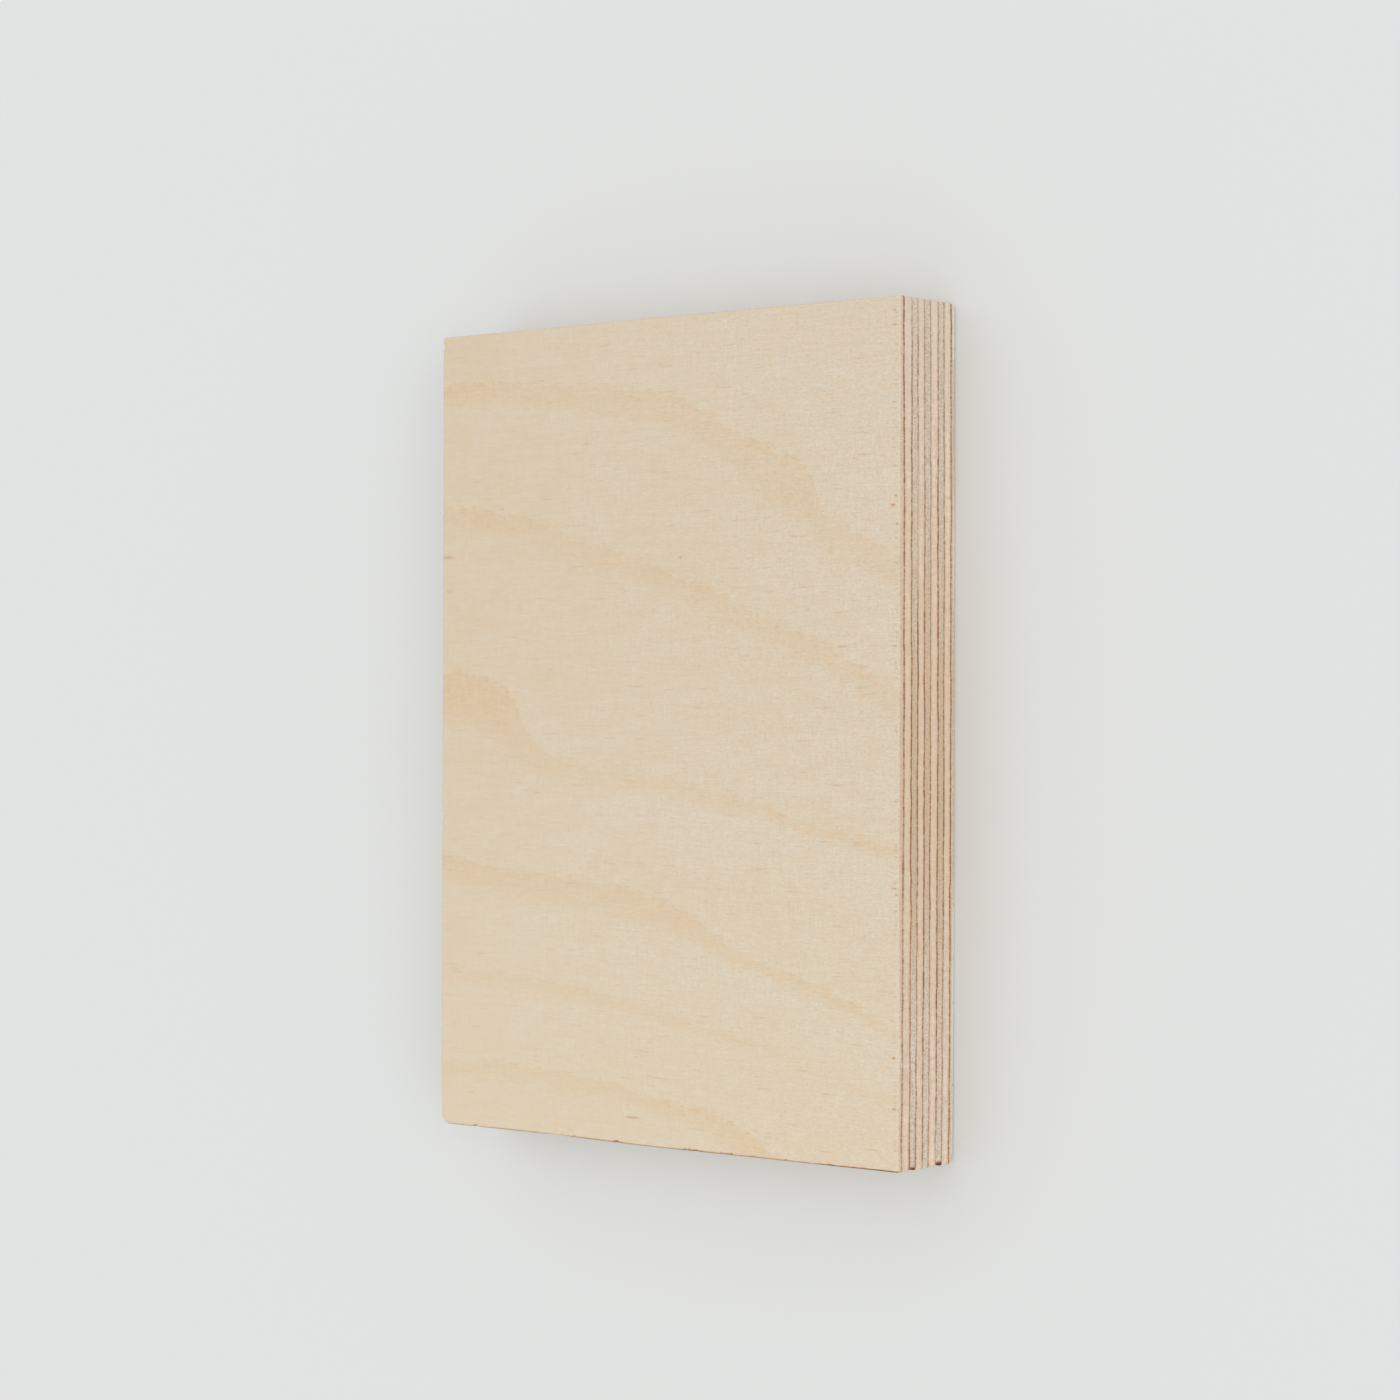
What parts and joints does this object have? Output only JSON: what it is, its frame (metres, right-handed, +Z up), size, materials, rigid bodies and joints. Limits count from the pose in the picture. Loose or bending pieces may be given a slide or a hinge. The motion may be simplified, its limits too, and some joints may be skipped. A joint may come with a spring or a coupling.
{
  "type": "plywood sheet",
  "caption": "Small rectangular cut piece of cross-laminated birch plywood with a sanded face, bare sawn edges that show the veneers and their dark glue lines, and lightly broken arrises.",
  "frame": {"origin": "middle of the underside, on the surface that the piece lies on", "axes": "+Z up, square to the face; +X along the grain of the face, across the shorter side; +Y along the longer side"},
  "size_m": [0.075, 0.105, 0.0117],
  "materials": {
    "birch_face": "rotary-cut birch veneer, sanded, unfinished and matt, with soft tan growth bands",
    "birch_long_ply": "birch veneer sawn across its grain on the long sides of the piece, greyer and rougher than the face",
    "birch_cross_ply": "birch veneer sawn along its grain on the long sides of the piece, pale and finely streaked",
    "birch_back": "rotary-cut birch veneer, sanded, unfinished and matt"
  },
  "bodies": {
    "root": {"face_veneer": "birch_face", "cross_ply_2": "birch_cross_ply", "long_ply_3": "birch_long_ply", "cross_ply_4": "birch_cross_ply", "centre_ply_5": "birch_long_ply", "cross_ply_6": "birch_cross_ply", "long_ply_7": "birch_long_ply", "cross_ply_8": "birch_cross_ply", "back_veneer": "birch_back"}
  },
  "joints": []
}
